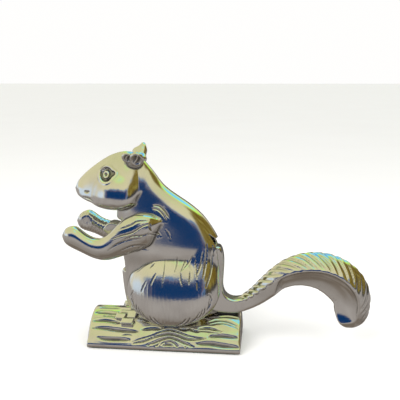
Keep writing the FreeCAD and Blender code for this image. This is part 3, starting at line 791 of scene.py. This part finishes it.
def log_field(p):
    x, y, z = p[:, 0], p[:, 1], p[:, 2]
    side = np.abs(y)
    foot, half = LOG_LOW[2], LOG_HIGH[1]
    rise = LOG_HIGH[2] - foot - LIP + SINK
    up = z - foot - LIP + SINK
    lean = math.sqrt(1.0 - (SINK / rise) ** 2)
    bark_half = (half - 0.5) / lean
    u, v = np.maximum(up, 0.0) / rise, side / bark_half
    size = np.hypot(u, v) + 1e-9
    d = size * (size - 1.0) / (np.hypot(u / rise, v / bark_half) + 1e-9)
    around = np.interp(np.arctan2(u, v), *LOG_ARC)
    around = np.where(z > foot + LIP, around, z - foot)
    flipped = np.where(y > 0, -x, x)
    near = np.abs(d) < 4.0
    part, fx, fu = d[near], flipped[near], around[near]
    for points, depth, width in BARK:
        part = engrave(part, fx, fu, points, depth, width, None, 0.10 * depth)
    # Slow waves along the grain.
    part += 0.035 * np.sin(fu * 1.1 + 0.9 * np.sin(fx * 0.09)) * ramp(fu, 3, 8)
    d[near] = part
    # A plain upright lip runs along the foot of the bark.
    lip = side - half + 0.35
    d = join(np.maximum(d, lip), np.maximum(lip, z - foot - LIP), 0.3)
    ends = np.abs(x) - LOG_HIGH[0] + 0.05
    rings = np.hypot(y * 0.82, z - foot - 4.0)
    ends += 0.16 * (0.5 + 0.5 * np.cos(rings * 2.1 + 0.8 * np.sin(np.arctan2(z - foot, y) * 3.0)))
    d = -join(-d, -ends, 2.2 * ramp(z, foot + LIP, foot + LIP + 6) + 0.3)
    d = -join(-d, z - foot, 0.3)
    pad_low, pad_high = node_box("lever_rest_pad")
    seat = np.maximum(np.abs(x - (pad_low[0] + pad_high[0]) / 2) - (pad_high[0] - pad_low[0]) / 2 - 0.1,
                      np.abs(y) - pad_high[1] - 0.1)
    d = np.maximum(d, -np.maximum(seat, pad_low[2] - z))
    for name in ("base_screw_front", "base_screw_rear"):
        low, high = node_box(name)
        radius = np.hypot(x - (low[0] + high[0]) / 2, y)
        d = np.maximum(d, -(radius - 3.3))
        d = np.maximum(d, -np.maximum(radius - 5.4, z - foot - 6.8))
    return d


# ---------------------------------------------------------------------------------------------
# Materials
# ---------------------------------------------------------------------------------------------
class Nodes:
    """Short hand for building a node tree."""

    def __init__(self, tree):
        self.tree = tree
        tree.nodes.clear()

    def add(self, kind, **values):
        node = self.tree.nodes.new(kind)
        for key, value in values.items():
            if hasattr(node, key):
                setattr(node, key, value)
        return node

    def link(self, source, target):
        self.tree.links.new(source, target)

    def feed(self, node, socket, value):
        """Sets a socket to a number or links it to an output."""
        target = node.inputs[socket]
        if isinstance(value, bpy.types.NodeSocket):
            self.link(value, target)
        else:
            target.default_value = value

    def math(self, operation, a, b=0.0, c=None):
        node = self.add("ShaderNodeMath", operation=operation)
        self.feed(node, 0, a)
        self.feed(node, 1, b)
        if c is not None:
            self.feed(node, 2, c)
        return node.outputs[0]

    def mix(self, factor, a, b):
        node = self.add("ShaderNodeMix", data_type="RGBA")
        self.feed(node, 0, factor)
        self.feed(node, 6, a)
        self.feed(node, 7, b)
        return node.outputs[2]

    def range(self, value, low, high, to_low=0.0, to_high=1.0):
        node = self.add("ShaderNodeMapRange", interpolation_type="SMOOTHSTEP")
        for socket, entry in enumerate((value, low, high, to_low, to_high)):
            self.feed(node, socket, entry)
        return node.outputs[0]

    def noise(self, place, scale, detail=3.0, rough=0.55):
        node = self.add("ShaderNodeTexNoise")
        self.link(place, node.inputs["Vector"])
        node.inputs["Scale"].default_value = scale
        node.inputs["Detail"].default_value = detail
        node.inputs["Roughness"].default_value = rough
        return node.outputs["Fac"]


def new_material(name):
    material = bpy.data.materials.new(name)
    material.use_nodes = True
    nodes = Nodes(material.node_tree)
    shader = nodes.add("ShaderNodeBsdfPrincipled")
    nodes.link(shader.outputs[0], nodes.add("ShaderNodeOutputMaterial").inputs[0])
    place = nodes.add("ShaderNodeTexCoord").outputs["Object"]
    return material, nodes, shader, place


def add_bump(nodes, shader, height, strength, depth):
    """Makes the surface uneven where height varies. depth is in metres."""
    bump = nodes.add("ShaderNodeBump")
    bump.inputs["Strength"].default_value = strength
    bump.inputs["Distance"].default_value = depth
    nodes.link(height, bump.inputs["Height"])
    nodes.link(bump.outputs[0], shader.inputs["Normal"])


def polished_metal():
    """Polished white metal casting: a painted highlight on its ridges, and dark in hollows, partly tarnish
    in the engraved lines and partly painted shade in wider recesses.
    """
    material, nodes, shader, place = new_material("polished_casting")
    hollow = nodes.add("ShaderNodeAttribute", attribute_name="hollow").outputs["Fac"]
    edge = nodes.add("ShaderNodeAttribute", attribute_name="edge").outputs["Fac"]
    cloud = nodes.noise(place, 38.0, 3.0)
    fine = nodes.noise(place, 900.0, 2.0)
    worn = nodes.mix(nodes.range(cloud, 0.35, 0.7), (0.70, 0.69, 0.66, 1), (0.62, 0.61, 0.585, 1))
    # Ridges get a painted highlight: a paler base colour wherever the surface bulges.
    painted_edge_highlight = nodes.mix(edge, worn, (0.86, 0.855, 0.83, 1))
    # Hollows are darkened: tarnish in the engraved lines, and painted shade in wider recesses such as round
    # the toes and in the eye's moat.
    dark = nodes.math("MULTIPLY", hollow, 0.68)
    nodes.link(nodes.mix(dark, painted_edge_highlight, (0.060, 0.058, 0.052, 1)), shader.inputs["Base Color"])
    shader.inputs["Metallic"].default_value = 1.0
    plain = nodes.range(cloud, 0.3, 0.75, 0.10, 0.17)
    rough = nodes.math("ADD", plain, nodes.math("MULTIPLY", hollow, 0.22))
    nodes.link(rough, shader.inputs["Roughness"])
    add_bump(nodes, shader, fine, 0.05, 0.0002)
    return material


def turned_steel():
    """Zinc-plated turned steel with fine tool rings."""
    material, nodes, shader, place = new_material("turned_steel")
    cloud = nodes.noise(place, 260.0, 4.0)
    nodes.link(nodes.mix(cloud, (0.44, 0.45, 0.47, 1), (0.62, 0.62, 0.60, 1)), shader.inputs["Base Color"])
    shader.inputs["Metallic"].default_value = 1.0
    nodes.link(nodes.range(cloud, 0.3, 0.7, 0.24, 0.42), shader.inputs["Roughness"])
    wave = nodes.add("ShaderNodeTexWave", wave_type="RINGS", rings_direction="Y")
    nodes.link(place, wave.inputs["Vector"])
    wave.inputs["Scale"].default_value = 900.0
    add_bump(nodes, shader, wave.outputs["Fac"], 0.15, 0.0001)
    return material


def satin_bronze():
    material, nodes, shader, place = new_material("satin_bronze")
    cloud = nodes.noise(place, 320.0, 4.0)
    nodes.link(nodes.mix(cloud, (0.42, 0.28, 0.11, 1), (0.68, 0.50, 0.24, 1)), shader.inputs["Base Color"])
    shader.inputs["Metallic"].default_value = 1.0
    nodes.link(nodes.range(cloud, 0.3, 0.7, 0.3, 0.5), shader.inputs["Roughness"])
    return material


def black_rubber():
    material, nodes, shader, place = new_material("black_rubber")
    cloud = nodes.noise(place, 700.0, 3.0)
    colour = nodes.mix(cloud, (0.010, 0.010, 0.010, 1), (0.030, 0.029, 0.028, 1))
    nodes.link(colour, shader.inputs["Base Color"])
    nodes.link(nodes.range(cloud, 0.2, 0.8, 0.62, 0.82), shader.inputs["Roughness"])
    add_bump(nodes, shader, cloud, 0.3, 0.0003)
    return material


def green_felt():
    material, nodes, shader, place = new_material("green_felt")
    fibre = nodes.noise(place, 1400.0, 6.0, 0.7)
    cloud = nodes.noise(place, 60.0, 2.0)
    colour = nodes.mix(fibre, (0.012, 0.045, 0.022, 1), (0.045, 0.13, 0.07, 1))
    colour = nodes.mix(nodes.math("MULTIPLY", cloud, 0.4), colour, (0.03, 0.07, 0.04, 1))
    nodes.link(colour, shader.inputs["Base Color"])
    shader.inputs["Roughness"].default_value = 0.95
    shader.inputs["Sheen Weight"].default_value = 0.4
    add_bump(nodes, shader, fibre, 0.7, 0.0004)
    return material


def pale_floor():
    material, nodes, shader, place = new_material("pale_floor")
    cloud = nodes.noise(place, 3.0, 2.0)
    colour = nodes.mix(cloud, (0.90, 0.89, 0.875, 1), (0.93, 0.925, 0.91, 1))
    nodes.link(colour, shader.inputs["Base Color"])
    shader.inputs["Roughness"].default_value = 0.8
    return material


# ---------------------------------------------------------------------------------------------
# Studio
# ---------------------------------------------------------------------------------------------
def room_world():
    """What the polish mirrors: a pale room, a dark blue wall in front, skylights and a warm wall."""
    world = bpy.data.worlds.new("room")
    bpy.context.scene.world = world
    world.use_nodes = True
    nodes = Nodes(world.node_tree)
    direction = nodes.add("ShaderNodeTexCoord").outputs["Generated"]
    split = nodes.add("ShaderNodeSeparateXYZ")
    nodes.link(direction, split.inputs[0])
    x, y, z = split.outputs
    wave = nodes.math("MULTIPLY_ADD", nodes.noise(direction, 2.2, 2.0), 0.24, -0.12)
    ripple = nodes.math("MULTIPLY_ADD", nodes.noise(direction, 7.0, 2.0), 0.16, -0.08)
    high = nodes.math("ADD", nodes.math("ADD", z, wave), ripple)
    right = nodes.math("ADD", nodes.math("ADD", x, wave), ripple)
    colour = nodes.mix(nodes.range(high, 0.1, 0.9), (0.92, 0.84, 0.60, 1), (0.84, 0.83, 0.45, 1))

    def paint(place, shade):
        """Lays a shade over the colour wherever place is 1."""
        return nodes.mix(place, colour, shade)

    def both(*places):
        product = places[0]
        for place in places[1:]:
            product = nodes.math("MULTIPLY", product, place)
        return product

    def away_from(middle):
        """How far the mirrored direction is from the middle of a pane, with a wavy edge."""
        gap = nodes.add("ShaderNodeVectorMath", operation="DISTANCE")
        nodes.link(direction, gap.inputs[0])
        gap.inputs[1].default_value = middle
        return nodes.math("ADD", gap.outputs["Value"], wave)

    # Warm brown wall on the right, broken by paler streaks.
    streak = nodes.range(nodes.noise(direction, 9.0, 3.0), 0.45, 0.7)
    brown = nodes.mix(streak, (0.20, 0.13, 0.015, 1), (0.46, 0.40, 0.10, 1))
    colour = paint(nodes.range(right, 0.54, 0.66), brown)
    # Skylight: a lime edge round pale cyan.
    away = away_from((0.20, 0.45, 0.87))
    colour = paint(nodes.range(away, 0.62, 0.50), (0.80, 1.30, 0.18, 1))
    colour = paint(nodes.range(away, 0.48, 0.38), (0.32, 1.00, 1.40, 1))
    colour = paint(nodes.range(away, 0.22, 0.10), (0.30, 0.50, 0.95, 1))
    # A smaller pane of the same glass, high up in front.
    away = away_from((0.10, -0.58, 0.81))
    colour = paint(nodes.range(away, 0.34, 0.24), (0.80, 1.02, 0.42, 1))
    colour = paint(nodes.range(away, 0.22, 0.08), (0.58, 0.95, 0.98, 1))
    # A tall white window on the far left.
    window = both(nodes.range(right, -0.64, -0.80), nodes.range(right, -1.02, -0.90),
                  nodes.range(high, 0.34, 0.14))
    colour = paint(window, (0.85, 1.00, 1.15, 1))
    # Dark skirting above the floor, all round.
    skirting = both(nodes.range(high, 0.15, 0.06), nodes.range(right, -0.70, -0.60))
    colour = paint(skirting, (0.035, 0.04, 0.05, 1))
    # Dark blue wall in front with a pale blue edge and a dusty line inside it.
    front = nodes.range(y, -0.30, -0.50)
    bands = ((0.0, (0.10, 0.26, 0.55, 1)), (0.05, (0.30, 0.20, 0.20, 1)), (0.08, (0.003, 0.045, 0.17, 1)))
    for inset, shade in bands:
        wall = both(front, nodes.range(high, 0.40 - inset, 0.36 - inset),
                    nodes.range(right, -0.70 + inset, -0.58 + inset),
                    nodes.range(right, 0.62 - inset, 0.56 - inset))
        colour = paint(wall, shade)
    # Shade far behind, which draws a dark line round every outline, and the grey ground.
    colour = paint(nodes.range(y, 0.86, 0.95), (0.10, 0.10, 0.085, 1))
    ground = nodes.mix(nodes.range(z, -0.1, -0.9), (0.46, 0.425, 0.405, 1), (0.22, 0.18, 0.145, 1))
    patches = nodes.range(nodes.noise(direction, 3.0, 2.0), 0.4, 0.65, 0.0, 0.25)
    ground = nodes.mix(patches, ground, (0.62, 0.60, 0.58, 1))
    colour = paint(nodes.range(z, 0.01, -0.03), ground)
    colour = paint(both(nodes.range(y, 0.80, 0.95), nodes.range(z, 0.02, -0.06)), (0.13, 0.12, 0.11, 1))
    lit = nodes.add("ShaderNodeBackground")
    nodes.link(colour, lit.inputs[0])
    lit.inputs[1].default_value = 1.0
    plain = nodes.add("ShaderNodeBackground")
    plain.inputs[0].default_value = (1.0, 0.995, 0.985, 1)
    plain.inputs[1].default_value = 1.0
    path = nodes.add("ShaderNodeLightPath")
    choose = nodes.add("ShaderNodeMixShader")
    nodes.link(path.outputs["Is Glossy Ray"], choose.inputs[0])
    nodes.link(plain.outputs[0], choose.inputs[1])
    nodes.link(lit.outputs[0], choose.inputs[2])
    nodes.link(choose.outputs[0], nodes.add("ShaderNodeOutputWorld").inputs[0])


def studio():
    floor_mesh = bpy.data.meshes.new("floor")
    reach, drop = 40.0, -0.0002
    corners = [(-reach, -reach, drop), (reach, -reach, drop), (reach, reach, drop), (-reach, reach, drop)]
    floor_mesh.from_pydata(corners, [], [(0, 1, 2, 3)])
    floor_mesh.materials.append(pale_floor())
    floor = bpy.data.objects.new("floor", floor_mesh)
    bpy.context.scene.collection.objects.link(floor)
    floor.visible_glossy = False
    aim = (0.02, 0, 0.06)
    lamps = (("key", (-0.5, -0.7, 0.9), 0.7, 7.0), ("fill", (0.8, -0.5, 0.7), 0.8, 4.0))
    for name, place, size, power in lamps:
        lamp = bpy.data.lights.new(name, "AREA")
        lamp.size = size
        lamp.energy = power
        holder = bpy.data.objects.new(name, lamp)
        holder.location = place
        holder.rotation_mode = "QUATERNION"
        holder.rotation_quaternion = (Vector(place) - Vector(aim)).to_track_quat("Z", "Y")
        holder.visible_glossy = False
        bpy.context.scene.collection.objects.link(holder)


def camera():
    yaw, pitch = math.radians(6.25), math.radians(11.1)
    forward = Vector((-math.sin(yaw) * math.cos(pitch), math.cos(yaw) * math.cos(pitch), -math.sin(pitch)))
    lens = bpy.data.cameras.new("camera")
    lens.sensor_width = 36.0
    lens.lens = 54.9
    lens.clip_start = 0.01
    holder = bpy.data.objects.new("camera", lens)
    holder.location = Vector((80.0, -480.0, 214.5)) * MM
    holder.rotation_mode = "QUATERNION"
    holder.rotation_quaternion = (-forward).to_track_quat("Z", "Y")
    bpy.context.scene.collection.objects.link(holder)
    bpy.context.scene.camera = holder


# ---------------------------------------------------------------------------------------------
# Whole model
# ---------------------------------------------------------------------------------------------
def dress(node, material):
    """Gives a CAD node its finished material."""
    piece = frame["nodes"][node]
    piece.data.materials.clear()
    piece.data.materials.append(material)


def main():
    metal = polished_metal()
    castings = [
        sculpt("squirrel_casting", squirrel_field, (-86, -34, 13), (50, 34, 168), 0.7,
               "squirrel", ["squirrel_body"]),
        sculpt("lever_casting", lever_field, (-56, -15, 12), (170, 15, 106), 0.7,
               "lever", ["tail_lever"]),
        sculpt("log_casting", log_field, (-65, -31, -1), (65, 31, 28), 0.8,
               "squirrel", ["log_base"]),
    ]
    for piece in castings:
        piece.data.materials.append(metal)
    steel = turned_steel()
    for name in ("front", "rear"):
        dress(f"base_screw_{name}", steel)
        dress(f"spring_washer_{name}", steel)
    dress("pivot_pin", steel)
    bronze = satin_bronze()
    for name in ("near", "far"):
        dress(f"pivot_washer_{name}", bronze)
    dress("lever_rest_pad", black_rubber())
    dress("base_felt", green_felt())
    room_world()
    studio()
    camera()
    bpy.context.scene.view_settings.view_transform = "Standard"


main()
